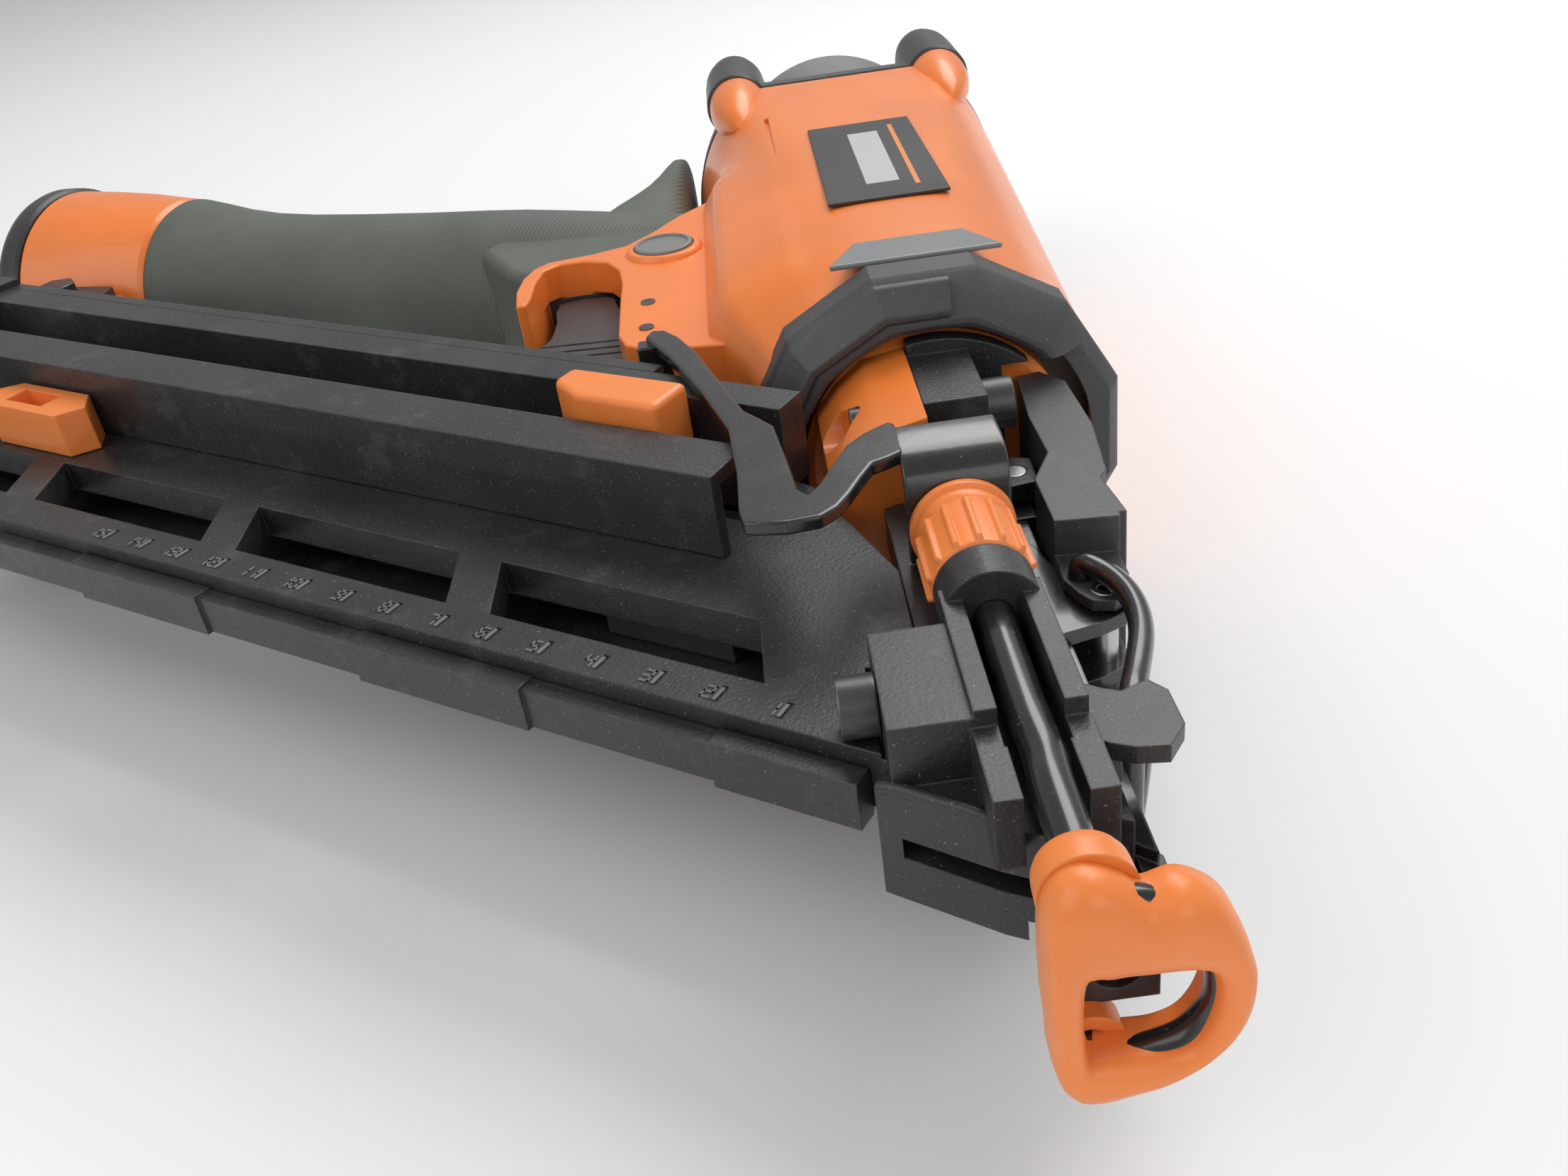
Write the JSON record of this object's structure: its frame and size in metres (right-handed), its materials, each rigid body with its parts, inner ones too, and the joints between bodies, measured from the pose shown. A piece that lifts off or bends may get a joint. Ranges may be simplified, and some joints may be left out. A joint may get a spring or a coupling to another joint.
{
  "type": "pneumatic nail gun",
  "caption": "Angled air-driven finish nailer with slanted magazine, ribbed grip, sprung trigger and contact foot, jam door and exhaust deflector.",
  "frame": {"origin": "centre of the nail exit at the nose tip, on the driver's axis", "axes": "+Y from the nail exit towards the cap, +X away from the handle, +Z towards the tool's right side"},
  "size_m": [0.3015, 0.3402, 0.0738],
  "materials": {
    "orange_paint": "satin, finely pebbled",
    "black_cast": "satin, textured",
    "black_gloss": "gloss",
    "grip_rubber": "matt, finely ribbed",
    "seal_rubber": "matt",
    "bumper_rubber": "matt",
    "grey_plastic": "matt",
    "dark_plastic": "satin",
    "orange_plastic": "satin, slightly translucent",
    "label_film": "satin",
    "clear_insert": "satin",
    "steel": "brushed",
    "dark_steel": "blackened",
    "aluminium": "machined",
    "brass": "machined"
  },
  "bodies": {
    "tool": {"housing": "orange_paint", "cap": "black_cast", "cap_gasket": "seal_rubber", "cap_screws": "dark_steel", "deflector_screw": "dark_steel", "collar": "black_cast", "collar_inserts": "clear_insert", "name_plate": "label_film", "grip_sleeve": "grip_rubber", "end_cap": "black_cast", "end_cap_screws": "steel", "swivel_collar": "brass", "cylinder_sleeve": "aluminium", "cylinder_seals": "seal_rubber", "head_valve_spring": "steel", "bumper": "bumper_rubber", "yoke_pins": "dark_steel", "pivot_disc": "grey_plastic", "valve_body": "dark_plastic", "nose_casting": "black_cast", "neck_screws": "dark_steel", "boss_screw": "dark_steel", "magazine_bolts": "dark_steel", "door_pin": "steel", "contact_spring": "steel", "magazine_body": "black_cast", "far_rail": "black_cast", "lower_rail": "black_cast", "pusher_spring": "steel", "magazine_end": "black_cast", "rear_bracket": "black_cast", "bracket_bolt": "dark_steel", "spare_pad": "orange_plastic"},
    "exhaust": {"exhaust_deflector": "grey_plastic"},
    "head_valve_body": {"head_valve": "aluminium"},
    "piston_assembly": {"piston": "aluminium", "piston_ring": "seal_rubber", "driver_blade": "steel"},
    "trigger_body": {"trigger": "dark_plastic"},
    "stem": {"valve_stem": "steel"},
    "contact_arm": {"contact_bracket": "black_gloss"},
    "knob": {"depth_knob": "orange_plastic"},
    "contact_foot": {"contact_rod": "black_gloss", "no_mar_pad": "orange_plastic"},
    "jam_door": {"door": "black_gloss", "latch_pin": "steel"},
    "lever": {"latch_lever": "dark_plastic"},
    "bail": {"bail_wire": "black_gloss"},
    "cover": {"magazine_cover": "black_cast"},
    "nail_pusher": {"pusher": "orange_plastic", "pusher_foot": "dark_plastic"},
    "plug": {"air_plug": "steel"}
  },
  "joints": [
    {"name": "exhaust_turn", "type": "hinge", "parent": "tool", "child": "exhaust", "pos_m": [0, 0.31, 0], "axis": [0, 1, 0], "continuous": true},
    {"name": "head_valve_slide", "type": "slide", "parent": "tool", "child": "head_valve_body", "axis": [0, 1, 0], "range_m": [0, 0.003], "stiffness_N_per_m": 2500, "springref_m": -0.008, "deforming": ["head_valve_spring"]},
    {"name": "piston_slide", "type": "slide", "parent": "tool", "child": "piston_assembly", "axis": [0, -1, 0], "range_m": [0, 0.075]},
    {"name": "trigger_pull", "type": "hinge", "parent": "tool", "child": "trigger_body", "pos_m": [-0.051, 0.172, 0], "axis": [0, 0, -1], "range_deg": [0, 7], "stiffness_Nm_per_rad": 0.05, "springref_deg": -11.46},
    {"name": "stem_slide", "type": "slide", "parent": "tool", "child": "stem", "axis": [0, 1, 0], "range_m": [0, 0.0021]},
    {"name": "contact_slide", "type": "slide", "parent": "tool", "child": "contact_arm", "axis": [0, 1, 0], "range_m": [0, 0.0075], "stiffness_N_per_m": 900, "springref_m": -0.006, "deforming": ["contact_spring"]},
    {"name": "knob_turn", "type": "hinge", "parent": "contact_arm", "child": "knob", "pos_m": [-0.0037, 0.062, 0.0153], "axis": [0, 1, 0], "range_deg": [-361, 361]},
    {"name": "foot_adjust", "type": "slide", "parent": "contact_arm", "child": "contact_foot", "axis": [0, 1, 0], "range_m": [-0.001, 0.001]},
    {"name": "door_swing", "type": "hinge", "parent": "tool", "child": "jam_door", "pos_m": [0.009, 0.0975, 0], "axis": [0, 0, 1], "range_deg": [0, 38]},
    {"name": "lever_turn", "type": "hinge", "parent": "jam_door", "child": "lever", "pos_m": [0.0143, 0.0609, 0], "axis": [0, 0, -1], "range_deg": [0, 75]},
    {"name": "bail_turn", "type": "hinge", "parent": "lever", "child": "bail", "pos_m": [0.0118, 0.0648, 0], "axis": [0, 0, -1], "range_deg": [-91, 0.5]},
    {"name": "cover_slide", "type": "slide", "parent": "tool", "child": "cover", "axis": [-0.829, 0.5592, 0], "range_m": [0, 0.12]},
    {"name": "pusher_slide", "type": "slide", "parent": "tool", "child": "nail_pusher", "axis": [-0.829, 0.5592, 0], "range_m": [0, 0.165], "stiffness_N_per_m": 60, "springref_m": -0.1, "deforming": ["pusher_spring"]},
    {"name": "plug_turn", "type": "hinge", "parent": "tool", "child": "plug", "pos_m": [-0.21659, 0.29514, 0], "axis": [-0.9336, 0.3584, 0], "continuous": true}
  ],
  "couplings": [
    {"joint": "stem_slide", "follows": "trigger_pull", "m_per_rad": 0.0165},
    {"joint": "knob_turn", "follows": "foot_adjust", "rad_per_m": 6283.2},
    {"joint": "door_swing", "follows": "lever_turn", "ratio": 0.5},
    {"joint": "bail_turn", "follows": "lever_turn", "ratio": -1.2}
  ]
}
